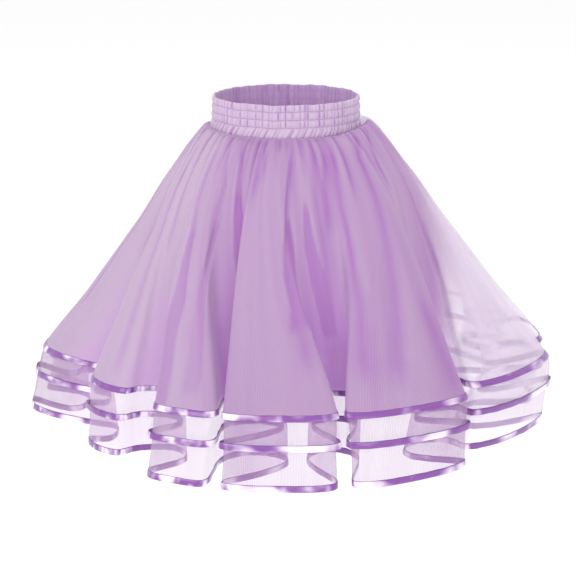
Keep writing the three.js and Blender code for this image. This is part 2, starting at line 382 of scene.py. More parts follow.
def hidden_folds(chance):
    """Folds like the front ones, scattered over the sides and the back."""
    folds = []
    last_front = max(line[0][0] for line, *_ in FRONT_FOLDS)
    for centre in scattered(FOLDS["count"], FOLDS["jitter"], len(RING), chance):
        start, end, depth = (chance.uniform(*FOLDS[k]) for k in ("start", "end", "depth"))
        reach = [STEEP_REACH, chance.uniform(*SOFT_REACH)]
        chance.shuffle(reach)
        drift = chance.uniform(-FOLD_DRIFT, FOLD_DRIFT)
        if centre % len(RING) > last_front + 1:
            line = [(centre + drift, start), (centre, (start + end) / 2), (centre, end)]
            folds.append((line, depth, *reach))
    return folds


def long_folds(place, down, chance):
    height = np.zeros(np.broadcast(place, down).shape)
    for line, depth, left, right in FRONT_FOLDS + hidden_folds(chance):
        places, distances = np.array(line).T
        gap = gap_round(place, np.interp(down, distances, places), len(RING))
        along = ease((down - distances[0]) / FOLD_EASE) * ease((distances[-1] - down) / FOLD_EASE)
        height += depth * fold_shape(gap, left, right) * along
    return height


def fold_room(place, down):
    """1 on open cloth, and less where it turns a tight corner or is still gathered."""
    step = np.gradient(cloth_surface(place, down), place, axis=0)
    return ease(np.linalg.norm(step, axis=-1) / FOLD_ROOM)


def fold_height(place, down):
    chance = np.random.default_rng(GATHER_SEED)
    room = fold_room(place, down)
    place, down = place[:, None], down[None, :]
    waist = along_ring(place)[2]
    return short_gathers(waist, down, chance) + long_folds(place, down, chance) * room


sample = fold_height(np.arange(0.0, len(RING), 0.1), np.array([60.0, 300.0]))
print("deepest gather and fold, mm:", sample.min(axis=0).round(1))

# %% [markdown]
# Where a fold tucks under its neighbour the net lies double, and a narrow wedge of deeper
# lilac shows, with crisp sides that spread down the skirt. The wedge's colour is painted
# deeper, partly as the net lying double and partly as painted shade inside the fold. Each tuck
# is a shallow flat-bottomed trough between two lines. The five in front stand where they show,
# and the flutes behind get one each.

# %% Tucks
TUCK_DEPTH = 1.6
TUCK_SIDE = 0.1
TUCK_EASE = 30
TUCK_SEED = 3
HIDDEN_FLUTES = range(7, 13)
HIDDEN_TONE = 0.7
HIDDEN_TUCK = {"place": (3.2, 4.2), "start": (130, 200), "end": (380, 480), "half": (0.2, 0.4)}
TUCK_TIP = 0.05

# each tuck's distances down, and the places of its left and right side there
FRONT_TUCKS = [
    [(160, 19.8, 19.85), (200, 19.65, 19.85), (300, 19.4, 19.95), (360, 18.95, 19.65), (500, 18.7, 19.5)],
    [(150, 22.1, 22.2), (230, 21.15, 21.55), (292, 20.65, 21.0), (350, 20.35, 20.75), (470, 20.0, 20.4)],
    [(90, 23.35, 23.4), (150, 23.2, 23.75), (215, 23.1, 24.05), (280, 23.15, 23.85), (330, 23.3, 23.5)],
    [(140, 27.7, 27.8), (200, 26.9, 28.0), (250, 26.65, 27.9), (300, 26.65, 27.5), (360, 26.4, 26.8)],
    [(120, 29.05, 29.1), (170, 28.9, 29.15), (208, 28.8, 29.2), (276, 28.85, 29.45), (400, 29.1, 29.5)],
]
FRONT_TONES = (1.0, 0.5, 0.9, 0.9, 0.9)  # how deep the dye and painted shade look in each


def hidden_tucks():
    chance = np.random.default_rng(TUCK_SEED)
    tucks = []
    for flute in HIDDEN_FLUTES:
        middle, start, end, half = (chance.uniform(*reach) for reach in HIDDEN_TUCK.values())
        middle += STEPS * flute
        sides = [(start, middle, middle + TUCK_TIP), (end, middle - half, middle + half)]
        tucks.append((HIDDEN_TONE, sides))
    return tucks


TUCKS = list(zip(FRONT_TONES, FRONT_TUCKS)) + hidden_tucks()


def tuck_share(place, down, toned=False):
    """1 inside a tuck, or its own tone, and 0 outside."""
    place, down = place[:, None], down[None, :]
    share = np.zeros(np.broadcast(place, down).shape)
    for tone, tuck in TUCKS:
        at, left, right = np.array(tuck).T
        middle = np.interp(down, at, (left + right) / 2)
        half = np.interp(down, at, (right - left) / 2)
        gap = np.abs(gap_round(place, middle, len(RING)))
        along = ease((down - at[0]) / TUCK_EASE) * ease((at[-1] - down) / TUCK_EASE)
        inside = ease((half - gap) / TUCK_SIDE + 1) * along
        share = np.maximum(share, inside * (tone if toned else 1))
    return share


print("tucks:", len(TUCKS))

# %% [markdown]
# Each layer is one sheet of net a fraction of a millimetre thick, cut as a front and a back
# panel that flare towards the hem and are sewn at the sides. A shell is made by laying a fine
# grid of points on the form, moving it in along its normals to the layer's own depth, and
# joining the points with quads. The grid is dense enough that the folds bend smoothly. Cloth
# that is gathered looks denser, so every point also keeps how much net covers it.

# %% Layers of net
CLOTH = 1.0
LAYERS = {
    "outer": {"length": 490, "inside": 0.0, "cover": 0.76, "tier_cover": 0.76, "hem_swell": 0.0},
    "middle": {"length": 537, "inside": 2.2, "cover": 0.6, "tier_cover": 0.08, "hem_swell": 2.5},
    "inner": {"length": 600, "inside": 4.65, "cover": 0.85, "tier_cover": 0.43, "hem_swell": -2.5},
}
SEAM_NESTING = 0.7
NESTING_LENGTH = 60
COLUMNS_PER_FLUTE = 76
ROW_SPACING = 6.0
PUFF_RISE = {"left": 12.0, "right": 19.0, "from_seam": 16, "length": 110}
SIDE_HOLLOW = {"depth": 7.0, "start": 110, "end": 470, "ease": 110}
FRONT_START = 5  # place of the valley where the front panel begins, and its end
FRONT_END = 41


def panel_places():
    count = COLUMNS_PER_FLUTE * len(FLUTES)
    return FRONT_START + np.arange(count + 1) * len(RING) / count


def grid_normals(points):
    """Outward unit normals of a grid whose first and last columns are the same line."""
    before = np.concatenate([points[-2:-1], points[:-1]])
    after = np.concatenate([points[1:], points[1:2]])
    along = np.gradient(points, axis=1)
    normals = np.cross(along, after - before)
    return normals / np.linalg.norm(normals, axis=-1, keepdims=True)


def seam_puff(points, down):
    """How far the gathers stand up beside the band: most at the sides, more on the right."""
    side = points[..., 0] / np.hypot(points[..., 0], points[..., 1])
    height = np.where(side > 0, PUFF_RISE["right"], PUFF_RISE["left"]) * side**2
    rise = ease(down / PUFF_RISE["from_seam"]) * ease(1 - down / PUFF_RISE["length"])
    return height * rise[None, :]


def side_hollow(points, down):
    """How far the cone hangs in at the sides, half-way down, as a share of its radius."""
    radius = np.hypot(points[..., 0], points[..., 1])
    side = points[..., 0] / radius
    start, end, reach = (SIDE_HOLLOW[k] for k in ("start", "end", "ease"))
    along = ease((down - start) / reach) * ease((end - down) / reach)
    return SIDE_HOLLOW["depth"] / radius * side**4 * along[None, :]


def layer_surface(layer, place, down):
    """Middle of the layer's net, in metres, and its outward normals."""
    base = cloth_surface(place, down)
    base[..., 2] += seam_puff(base, down)
    base[..., :2] *= 1 - side_hollow(base, down)[..., None]
    height = fold_height(place, down) - TUCK_DEPTH * tuck_share(place, down)
    base += grid_normals(base) * height[..., None]
    normals = grid_normals(base)
    nesting = SEAM_NESTING + (1 - SEAM_NESTING) * np.minimum(1, down / NESTING_LENGTH)
    depth = layer["inside"] * nesting + CLOTH / 2
    depth = depth - layer["hem_swell"] * ease((down - FLUTE_LENGTH) / NESTING_LENGTH)
    return (base - normals * depth[None, :, None]) * MM, normals


place = panel_places()
for name, layer in LAYERS.items():
    rows = int(layer["length"] / ROW_SPACING) + 1
    layer["down"] = np.linspace(0, layer["length"], rows)
    layer["points"], layer["normals"] = layer_surface(layer, place, layer["down"])
    print(name, "grid:", layer["points"].shape[:2])

# %% [markdown]
# The net's look depends on how many threads lie in the line of sight. At the waist more
# than a metre of net is drawn into two thirds of a metre, so it is dense there and thins out
# down the cone. On the right side of the skirt only a single sheer layer shows. Its edge leans
# across the flutes, further forward at the hem than at the waist, and fades softly. The tiers
# below the outer hem are as dense there as anywhere.

# %% How densely the net covers
SHEER_SIDE = {"top": 38.6, "lean": -0.0102, "ease": 3.0, "to": 57.0, "to_ease": 7.0}
SHEER_SHARE = {"outer": 0.5, "middle": 0.96, "inner": 0.97}
SHEER_HEM = {"from": 360, "share": 0.15}  # the outer net is denser again near its hem
UNDER_SHEER_END = 468
UNDER_SHEER_EASE = 24
GATHERING = 1.7  # width of the cut over the width it is gathered to
LINING_END = 474  # the closer net of the upper part ends behind the outer ribbon
LINING_EASE = 12


def sheer_side(place, down):
    """1 where only the outer layer shows, 0 elsewhere."""
    place, down = place[:, None], down[None, :]
    start = SHEER_SIDE["top"] + SHEER_SIDE["lean"] * down
    ends = ease((SHEER_SIDE["to"] - place) / SHEER_SIDE["to_ease"])
    return ease((place - start) / SHEER_SIDE["ease"]) * ends


def net_cover(name, layer, place):
    down = layer["down"]
    steps = np.linalg.norm(np.diff(layer["points"], axis=0), axis=-1)
    girth = steps.sum(axis=0)
    layer["hem_length"] = girth[-1]
    layer["waist_cut"] = girth[0] * GATHERING
    cut = layer["waist_cut"] + (girth[-1] - layer["waist_cut"]) * down / layer["length"]
    lined = 1 - ease((down - LINING_END) / LINING_EASE)
    cover = layer["tier_cover"] + (layer["cover"] - layer["tier_cover"]) * lined
    bare = SHEER_SHARE[name] * sheer_side(place, down)
    if name == "outer":
        near_hem = ease((down - SHEER_HEM["from"]) / (FLUTE_LENGTH - SHEER_HEM["from"]))
        bare = bare * (1 - SHEER_HEM["share"] * near_hem)
    else:
        bare = bare * (1 - ease((down - UNDER_SHEER_END) / UNDER_SHEER_EASE))
    fullness = cut / girth
    return 1 - (1 - cover * (1 - bare)) ** fullness[None, :]


for name, layer in LAYERS.items():
    layer["net_cover"] = net_cover(name, layer, place)
    print(name, "hem length in metres:", round(float(layer["hem_length"]), 3))

# %% [markdown]
# A helper turns any grid of points into a smooth mesh with flat cloth coordinates in metres,
# so that a weave keeps its real size on every piece, and with named values at each point for
# the shaders to read.

# %% From grid to mesh
ROOT = "root"


def grid_mesh(name, points, flat, round_it=False, **values):
    columns, rows = points.shape[:2]
    mesh = bpy.data.meshes.new(name)
    index = np.arange(columns * rows).reshape(columns, rows)
    after = np.roll(index, -1, axis=0) if round_it else index[1:]
    here = index if round_it else index[:-1]
    quads = [here[:, :-1], here[:, 1:], after[:, 1:], after[:, :-1]]
    faces = np.stack(quads, -1).reshape(-1, 4)
    mesh.from_pydata(points.reshape(-1, 3), [], faces)
    layer = mesh.uv_layers.new(name="flat_cloth")
    corners = np.empty(len(mesh.loops), int)
    mesh.loops.foreach_get("vertex_index", corners)
    layer.data.foreach_set("uv", flat.reshape(-1, 2)[corners].ravel())
    for key, value in values.items():
        attribute = mesh.attributes.new(key, "FLOAT", "POINT")
        attribute.data.foreach_set("value", np.asarray(value, float).ravel())
    mesh.shade_smooth()
    return new_object(name, mesh)


def flat_cloth(width, down, columns):
    """Flat cloth coordinates, in metres: across the cut's width and down its length."""
    across = np.linspace(0, width, columns)
    return np.stack(np.meshgrid(across, down * MM, indexing="ij"), -1)


print("grid meshes ride on:", ROOT)

# %% [markdown]
# Shaders are built from a few shared effects. Each effect is a node group that puts out a
# mask or a height, and the material decides what to do with it. Small helpers keep the node
# code short: they fill a node's inputs from numbers or from another node's output.

# %% Shader helpers
def new_group(name, numbers, output):
    """A node group that turns a place on the cloth and some numbers into one number."""
    group = bpy.data.node_groups.new(name, "ShaderNodeTree")
    add_socket = group.interface.new_socket
    add_socket(name="Flat", in_out="INPUT", socket_type="NodeSocketVector")
    for label in numbers:
        add_socket(name=label, in_out="INPUT", socket_type="NodeSocketFloat")
    add_socket(name=output, in_out="OUTPUT", socket_type="NodeSocketFloat")
    return group, group.nodes.new("NodeGroupInput"), group.nodes.new("NodeGroupOutput")


def fill_inputs(tree, made, inputs):
    for socket, value in inputs.items():
        if isinstance(value, bpy.types.NodeSocket):
            tree.links.new(value, made.inputs[socket])
        else:
            made.inputs[socket].default_value = value


def add_node(tree, kind, inputs=None, **settings):
    made = tree.nodes.new("ShaderNode" + kind)
    for key, value in settings.items():
        setattr(made, key, value)
    fill_inputs(tree, made, inputs or {})
    return made


def compute(tree, operation, *values, clamp=False):
    made = add_node(tree, "Math", dict(enumerate(values)), operation=operation, use_clamp=clamp)
    return made.outputs[0]


def ramp(tree, value, low, high, to_low=0.0, to_high=1.0):
    ends = {"Value": value, "From Min": low, "From Max": high, "To Min": to_low, "To Max": to_high}
    return add_node(tree, "MapRange", ends, interpolation_type="SMOOTHSTEP").outputs["Result"]


def mix_colour(tree, share, first, second):
    return add_node(tree, "Mix", {0: share, 6: first, 7: second}, data_type="RGBA").outputs[2]


def use_group(tree, group, **inputs):
    made = add_node(tree, "Group", node_tree=group)
    fill_inputs(tree, made, inputs)
    return made.outputs[0]


def new_material(name):
    """A material, its node tree, its shader and the flat cloth coordinates."""
    paint = bpy.data.materials.new(name)
    paint.use_nodes = True
    tree = paint.node_tree
    flat = add_node(tree, "UVMap", uv_map="flat_cloth").outputs["UV"]
    return paint, tree, tree.nodes["Principled BSDF"], flat


def point_value(tree, name):
    return add_node(tree, "Attribute", attribute_name=name).outputs["Fac"]


def relief(tree, shader, height, strength):
    bump = add_node(tree, "Bump", {"Height": height, "Strength": strength, "Distance": THREAD})
    tree.links.new(bump.outputs[0], shader.inputs["Normal"])


def colour(red, green, blue):
    """A colour as seen on screen, from 0 to 255, as the shader's linear light."""
    seen = np.array([red, green, blue]) / 255
    linear = np.where(seen <= 0.04045, seen / 12.92, ((seen + 0.055) / 1.055) ** 2.4)
    return (*linear.tolist(), 1.0)


THREAD = 0.0002
print("white on screen is", colour(255, 255, 255)[:3])

# %% [markdown]
# Tulle is a net of six-sided holes about a millimetre and a half wide. Too fine to model, it
# belongs in the shader: a cell pattern in flat cloth coordinates gives the thread mask, which
# drives how much light passes and a slight relief. A second effect drifts slowly down the
# grain of the cloth, because net that has been folded and steamed is never quite even.

# %% Net and grain effects
CELL_UNEVEN = 0.12
CELL_BORDER = (0.02, 0.2)  # where thread turns into open hole
DRIFT_RANGE = (0.32, 0.68)


def make_net():
    group, given, result = new_group("net_threads", ["Hole"], "Threads")
    cells = add_node(
        group,
        "TexVoronoi",
        {
            "Vector": given.outputs["Flat"],
            "Scale": compute(group, "DIVIDE", 1.0, given.outputs["Hole"]),
            "Randomness": CELL_UNEVEN,
        },
        feature="DISTANCE_TO_EDGE",
        voronoi_dimensions="2D",
    )
    threads = ramp(group, cells.outputs["Distance"], *CELL_BORDER, 1.0, 0.0)
    group.links.new(threads, result.inputs["Threads"])
    return group


def make_grain():
    group, given, result = new_group("grain_drift", ["Across", "Along"], "Drift")
    stretch = add_node(group, "CombineXYZ", {"X": given.outputs["Across"], "Y": given.outputs["Along"]})
    inputs = {0: given.outputs["Flat"], 1: stretch.outputs[0]}
    place = add_node(group, "VectorMath", inputs, operation="MULTIPLY")
    noise = add_node(group, "TexNoise", {"Vector": place.outputs[0], "Scale": 1.0, "Detail": 3.0})
    group.links.new(ramp(group, noise.outputs[0], *DRIFT_RANGE), result.inputs["Drift"])
    return group


NET = make_net()
GRAIN = make_grain()
print("shared effects:", NET.name, GRAIN.name)

# %% [markdown]
# The lilac net takes light softly from both sides. Its alpha is the share of the view that
# threads cover, so several layers over each other turn nearly solid while a single one stays
# sheer. Light also filters through a gathered skirt from behind and inside. A surface shader
# can't pass that on, so the net has a painted glow: it gives back a little lilac light of its
# own, most in the valleys. There the colour is painted deeper, partly as the deeper dye of net
# lying in many thicknesses and partly as painted shade, and creases are painted darker as
# painted shade. A lone layer with light behind it looks whitish, so it is painted paler colours
# as painted backlight, and the left of the front gets a little of that as painted light.

# %% Net material
NET_PALE = colour(169, 150, 171)
# deep colour, for deeper dye and for painted shade
NET_DEEP_DYE_AND_SHADE = colour(128, 86, 140)
# whitish colour of painted backlight, for net with light behind it
NET_PAINTED_BACKLIGHT = colour(202, 188, 206)
# painted glow colours: on open net, in the valleys, in painted creases and with painted backlight
PAINTED_GLOW_PALE = colour(88, 69, 92)
PAINTED_GLOW_BACKLIGHT = colour(104, 98, 106)
PAINTED_GLOW_DEEP = colour(142, 103, 153)
PAINTED_GLOW_CREASE = colour(112, 70, 126)
HOLE_SIZE = 0.0016
NET_STREAKS = {"Across": 30.0, "Along": 1.6}
STREAK_DYE = 0.26
THREAD_COVER = (0.86, 1.22)  # of the cover, at the holes and at the threads
DRIFT_COVER = (0.95, 1.04)
NET_ROUGHNESS = (0.72, 0.58)
# the emission strength gives the painted glow; sheen and specular are the net's own finish
NET_FINISH_AND_GLOW = {
    "Emission Strength": 1.0,
    "Sheen Weight": 0.2,
    "Sheen Roughness": 0.4,
    "Specular IOR Level": 0.3,
}


def make_net_material():
    paint, tree, shader, flat = new_material("lilac_net")
    threads = use_group(tree, NET, Flat=flat, Hole=HOLE_SIZE)
    drift = use_group(tree, GRAIN, Flat=flat, **NET_STREAKS)
    dye_and_shade = point_value(tree, "dye_and_shade")

    tone = compute(tree, "MULTIPLY_ADD", drift, STREAK_DYE, dye_and_shade, clamp=True)
    dyed_and_shaded = mix_colour(tree, tone, NET_PALE, NET_DEEP_DYE_AND_SHADE)
    # painted backlight: the net turns whitish where light is meant to shine through it
    painted_backlight = point_value(tree, "painted_backlight")
    tree.links.new(mix_colour(tree, painted_backlight, dyed_and_shaded, NET_PAINTED_BACKLIGHT), shader.inputs["Base Color"])
    # painted glow: lilac light the net gives off, most in the valleys
    painted_glow = mix_colour(tree, point_value(tree, "painted_glow"), PAINTED_GLOW_PALE, PAINTED_GLOW_DEEP)
    painted_glow = mix_colour(tree, dye_and_shade, painted_glow, PAINTED_GLOW_CREASE)
    painted_glow = mix_colour(tree, painted_backlight, painted_glow, PAINTED_GLOW_BACKLIGHT)
    tree.links.new(painted_glow, shader.inputs["Emission Color"])

    net_share = ramp(tree, threads, 0.0, 1.0, *THREAD_COVER)
    drift_share = ramp(tree, drift, 0.0, 1.0, *DRIFT_COVER)
    covered = compute(tree, "MULTIPLY", point_value(tree, "net_cover"), net_share)
    tree.links.new(compute(tree, "MULTIPLY", covered, drift_share, clamp=True), shader.inputs["Alpha"])
    tree.links.new(ramp(tree, threads, 0.0, 1.0, *NET_ROUGHNESS), shader.inputs["Roughness"])
    relief(tree, shader, threads, 0.2)
    fill_inputs(tree, shader, NET_FINISH_AND_GLOW)
    return paint


LILAC_NET = make_net_material()
print("material:", LILAC_NET.name)

# %% [markdown]
# Each layer's grid is cut at the two side seams into its front and back panel. A panel was a
# flared piece of net before it was gathered: 1.7 times as wide as its share of the waist
# along its top, and as wide as its hem along its bottom. Its flat cloth coordinates are as
# wide as its hem all the way down.

# %% Net panels
VALLEY_FROM = 12
VALLEY_TO = 76
# painted shade in the folds; valleys get both the deeper dye of thick net and painted shade
VALLEY_DYE_AND_SHADE = 0.3
FOLD_PAINTED_SHADE = 0.115
# painted shade and deeper dye inside the tucks
TUCK_DYE_AND_SHADE = 0.55
BASE_DYE = 0.26
PAINTED_LIGHT_SIDE = {"start": 5, "end": 22, "ease": 4, "painted_backlight": 0.16}  # the left of the front is painted paler, as painted light


def valley_share(place, down):
    """How deep the flute's valley is at each point, from 0 to 1."""
    recess = along_ring(place[:, None])[1]
    share = np.clip(down / FLUTE_LENGTH, 0, 1)[None, :] ** FLUTE_GROWTH
    return ease((recess * share - VALLEY_FROM) / (VALLEY_TO - VALLEY_FROM))


def painted_light_share(place):
    """1 on the left of the front, which is painted paler as painted light, 0 elsewhere, at every row."""
    start, end, reach = (PAINTED_LIGHT_SIDE[k] for k in ("start", "end", "ease"))
    return (ease((place - start) / reach) * ease((end - place) / reach))[:, None]


def dye_and_shade_share(place, down):
    """How deep the net's colour is: painted shade in the creases, dye and painted shade in the valleys
    and tucks, less on the left of the front as painted light, and none on the sheer side.
    """
    tucked = TUCK_DYE_AND_SHADE * tuck_share(place, down, toned=True)
    folded = np.maximum(tucked, -FOLD_PAINTED_SHADE * fold_height(place, down))
    folded = np.maximum(folded, VALLEY_DYE_AND_SHADE * valley_share(place, down))
    dyed_and_shaded = BASE_DYE * (1 - painted_light_share(place)) + folded
    return np.clip(dyed_and_shaded * (1 - sheer_side(place, down)), 0, 1)


def painted_backlight_share(place, down):
    """How much the net is painted whitish as painted backlight: on the sheer side, and a little on the
    left of the front.
    """
    return np.maximum(sheer_side(place, down), PAINTED_LIGHT_SIDE["painted_backlight"] * painted_light_share(place))


def add_panel(name, layer, side, first, last):
    columns = slice(first, last + 1)
    points = layer["points"][columns]
    hem = float(np.linalg.norm(np.diff(points[:, -1], axis=0), axis=-1).sum())
    flat = flat_cloth(hem, layer["down"], len(points))
    values = {key: layer[key][columns] for key in ("net_cover", "dye_and_shade", "painted_glow", "painted_backlight")}
    panel = grid_mesh(f"{name}_net_{side}", points, flat, **values)
    panel.data.materials.append(LILAC_NET)
    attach(panel, ROOT)
    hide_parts(f"{name}_layer_{side}")
    return panel


seam = round(COLUMNS_PER_FLUTE * (FRONT_END - FRONT_START) / STEPS)
for name, layer in LAYERS.items():
    # each point keeps its dye and painted shade
    layer["dye_and_shade"] = dye_and_shade_share(place, layer["down"])
    # how strongly the painted glow shows at each point
    layer["painted_glow"] = valley_share(place, layer["down"])
    layer["painted_backlight"] = painted_backlight_share(place, layer["down"])
    add_panel(name, layer, "front", 0, seam)
    add_panel(name, layer, "back", seam, len(place) - 1)

# %% [markdown]
# The hems are bound with satin ribbon, folded in half over the raw edge of the net. Satin is
# smooth and tightly woven, so it shines in bright patches wherever it turns, and the stitching
# pulls it into small waves that break the shine up. Besides its glossy shader, near-white
# patches of painted highlight are mixed into its colour along its length, and its edges and
# fold are painted darker as painted shade. The ribbon is a folded strip that follows the hem's
# own points, with those waves in it.

# %% Satin ribbon
RIBBON_CUT = 0.021
SATIN_DEEP = colour(122, 60, 148)
# near-white colour of the painted highlight patches
SATIN_PAINTED_HIGHLIGHT = colour(238, 222, 243)
# dark colour of the painted shade along the ribbon's edges and fold
SATIN_PAINTED_EDGE_SHADE = colour(92, 40, 120)
SHINE_LENGTH = 0.042
SHINE_LEAN = 26.0
EDGE_WIDTH = 0.0016
SATIN_THREADS = {"Across": 60.0, "Along": 2600.0}
WAVE_SEED = 5
WAVES = {"cycles": (150, 330), "height": 0.55, "sines": 5}
FACES = 3  # the ribbon's inside, fold and outside wave apart
SHINE_RANGE = (0.47, 0.64)
EDGE_RANGE = (0.3, 1.0)
SATIN_ROUGHNESS = (0.2, 0.34)
SATIN_FINISH = {
    "Specular IOR Level": 0.6,
    "Sheen Weight": 0.2,
    "Coat Weight": 0.3,
    "Coat Roughness": 0.18,
}

# distance from the hem and height over the net, round the fold, from inside to outside
BINDING = [
    (-10.0, -0.5), (-8.8, -0.75), (-6.0, -0.95), (-3.0, -0.9), (-0.8, -0.75), (0.5, -0.35),
    (0.8, 0.0), (0.5, 0.45), (-0.8, 0.85), (-3.0, 1.05), (-6.0, 1.15), (-8.8, 0.95), (-10.0, 0.55),
]


def ribbon_waves(place, count, chance):
    """Small uneven waves along the ribbon: a few sines of different lengths added up."""
    wave = np.zeros(len(place))
    for cycles in chance.integers(*WAVES["cycles"], count):
        start = chance.uniform(0, np.pi * 2)
        wave += np.sin(place / len(RING) * np.pi * 2 * cycles + start)
    return wave / np.sqrt(count)


def painted_satin_shine():
    group, given, result = new_group("painted_satin_shine", ["Length"], "Shine")
    split = add_node(group, "SeparateXYZ", {"Vector": given.outputs["Flat"]})
    along = compute(group, "DIVIDE", split.outputs["X"], given.outputs["Length"])
    lean = compute(group, "MULTIPLY", split.outputs["Y"], SHINE_LEAN)
    place_along = add_node(group, "CombineXYZ", {"X": along, "Y": lean})
    patches = add_node(group, "TexNoise", {"Vector": place_along.outputs[0], "Scale": 1.0, "Detail": 2.0})
    group.links.new(ramp(group, patches.outputs[0], *SHINE_RANGE), result.inputs["Shine"])
    return group


def painted_edge_shade():
    """1 along the ribbon's two edges and its fold, where painted shade stands for the cloth turning away
    from the light.
    """
    group, given, result = new_group("painted_edge_shade", ["Width"], "Edge")
    split = add_node(group, "SeparateXYZ", {"Vector": given.outputs["Flat"]})
    from_edge = compute(group, "PINGPONG", split.outputs["Y"], RIBBON_CUT / 4)
    share = compute(group, "DIVIDE", from_edge, given.outputs["Width"])
    group.links.new(ramp(group, share, *EDGE_RANGE, 1.0, 0.0), result.inputs["Edge"])
    return group


def make_satin():
    paint, tree, shader, flat = new_material("lilac_satin")
    painted_shine = use_group(tree, painted_satin_shine(), Flat=flat, Length=SHINE_LENGTH)
    edge_shade = use_group(tree, painted_edge_shade(), Flat=flat, Width=EDGE_WIDTH)
    threads = use_group(tree, GRAIN, Flat=flat, **SATIN_THREADS)
    # painted highlight patches, then painted shade along the edges
    painted_sheen = mix_colour(tree, painted_shine, SATIN_DEEP, SATIN_PAINTED_HIGHLIGHT)
    tree.links.new(mix_colour(tree, edge_shade, painted_sheen, SATIN_PAINTED_EDGE_SHADE), shader.inputs["Base Color"])
    tree.links.new(ramp(tree, threads, 0.0, 1.0, *SATIN_ROUGHNESS), shader.inputs["Roughness"])
    relief(tree, shader, threads, 0.12)
    fill_inputs(tree, shader, SATIN_FINISH)
    return paint


def binding_points(name, layer):
    """The folded strip's points round the hem, with small waves that differ from face to face."""
    chance = np.random.default_rng(WAVE_SEED + len(name))
    from_hem, lift = np.array(BINDING).T
    down, at = np.unique(layer["length"] + from_hem, return_inverse=True)
    surface, normals = layer_surface(layer, place, down)
    surface, normals = surface[:-1, at], normals[:-1, at]
    waves = np.stack([ribbon_waves(place[:-1], WAVES["sines"], chance) for _ in range(FACES)])
    across = np.linspace(0, FACES - 1, len(BINDING))
    waves = np.array([np.interp(across, range(FACES), column) for column in waves.T])
    return surface + normals * ((lift + WAVES["height"] * waves) * MM)[..., None]


def add_ribbon(name, layer, satin):
    points = binding_points(name, layer)
    hem = float(layer["hem_length"])
    flat = flat_cloth(hem, np.linspace(0, RIBBON_CUT / MM, len(BINDING)), len(points))
    ribbon = grid_mesh(f"{name}_hem_satin", points, flat, round_it=True)
    ribbon.data.materials.append(satin)
    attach(ribbon, ROOT)
    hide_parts(f"{name}_hem_ribbon")
    return ribbon


LILAC_SATIN = make_satin()
for name, layer in LAYERS.items():
    ribbon = add_ribbon(name, layer, LILAC_SATIN)
    print(ribbon.name, "faces:", len(ribbon.data.polygons))

# %% [markdown]
# The waistband is a strip of jersey folded over wide elastic and sewn through in rows while
# the elastic is stretched. When it springs back, the jersey puckers between the rows into
# small upright gathers, and the lowest row, which has no elastic, leans and ruffles. Its
# surface is a grid round the waist: down the outside from the seam to the rim, over it, and
# down the inside. Each row's puckers are added as uneven waves.

# %% Waistband
BAND_WALL = 2.2
BAND_COLUMNS = 1200
BAND_SEED = 8
BAND_CUT = (0.98, 0.062)
STITCH_ROWS = (11.3, 25.0, 38.0)

# down from the rim, how far the band stands out there
BAND_PROFILE = [
    (55.0, 2.6), (53.4, 4.0), (51.5, 4.6), (48.5, 4.7), (45.0, 4.3), (42.0, 3.2), (39.5, 1.9),
    (38.0, 1.0), (36.5, 1.8), (34.0, 2.6), (31.5, 2.8), (29.0, 2.4), (26.5, 1.5), (25.0, 0.5),
    (23.5, 1.4), (21.0, 2.1), (18.0, 2.3), (15.0, 1.9), (12.8, 1.0), (11.3, 0.2), (9.8, 1.0),
    (7.5, 1.7), (5.0, 1.8), (2.5, 1.4), (0.9, 0.7), (0.1, -0.4), (-0.1, -1.1), (0.1, -1.8),
    (0.9, -2.4), (3.0, -2.8), (7.0, -3.0), (11.3, -2.5), (15.0, -3.0), (20.0, -3.2), (25.0, -2.6),
    (30.0, -3.2), (38.0, -2.4), (45.0, -2.4), (53.0, -2.2),
]
PUCKERS = {"large": 104, "small": 72, "ruffle": 104}
PUCKER_DEPTH = {"large": 1.7, "small": 0.9, "ruffle": 2.0, "inside": 0.8}
PUCKER_REACH = (0.45, 1.3)  # degrees
PUCKER_JITTER = 0.34
PUCKER_UNEVEN = (0.45, 1.2)
PUCKER_PINCH = 1.4
RUFFLE_LEAN = 3.4  # degrees
ROW_SWAY = 0.55
SWAY_SEED = 12
SWAY_CYCLES = (5, 34)
SWAY_END = 6  # the sway stops this far above the seam
SWAY_WAVES = 7
HELD_SHARE = 0.35  # of a pucker's depth, where the stitches hold it
ROW_REACH = 4.0  # millimetres from a sewn row to the free cloth
RUFFLE_EASE = 2.0
INSIDE_SMALL = 0.6


def puckers(angle, count, chance):
    """Uneven creases round the band: each has its own place, depth and reach."""
    height = np.zeros(np.shape(angle))
    for centre in scattered(count, PUCKER_JITTER, TURN, chance):
        left, right = chance.uniform(*PUCKER_REACH, 2)
        gap = gap_round(angle, centre, TURN)
        height -= chance.uniform(*PUCKER_UNEVEN) * trough(gap, left, right, PUCKER_PINCH)
    return height - height.mean()


def band_profile(steps_between):
    profile = np.array(BAND_PROFILE)
    knots = np.arange(len(profile))
    fine = np.linspace(0, len(profile) - 1, (len(profile) - 1) * steps_between + 1)
    return np.stack([np.interp(fine, knots, profile[:, k]) for k in range(2)], 1)


def row_sway(angle):
    """How far the sewn rows wander up and down where the elastic drew them in."""
    chance = np.random.default_rng(SWAY_SEED)
    cycles = chance.integers(*SWAY_CYCLES, SWAY_WAVES)
    starts = chance.uniform(0, np.pi * 2, len(cycles))
    waves = [np.sin(np.radians(angle) * count + start) for count, start in zip(cycles, starts)]
    return np.sum(waves, axis=0) / np.sqrt(len(cycles))


def band_surface(angle, down, out):
    a = WAIST_WIDTH / 2 + out
    b = WAIST_DEPTH / 2 + out
    turn = np.radians(angle)
    sway = ROW_SWAY * row_sway(angle) * ease((BAND_HEIGHT - down) / SWAY_END)
    height = BAND_HEIGHT / 2 - down + sway
    return np.stack([a * np.sin(turn), -b * np.cos(turn), height], -1) * MM


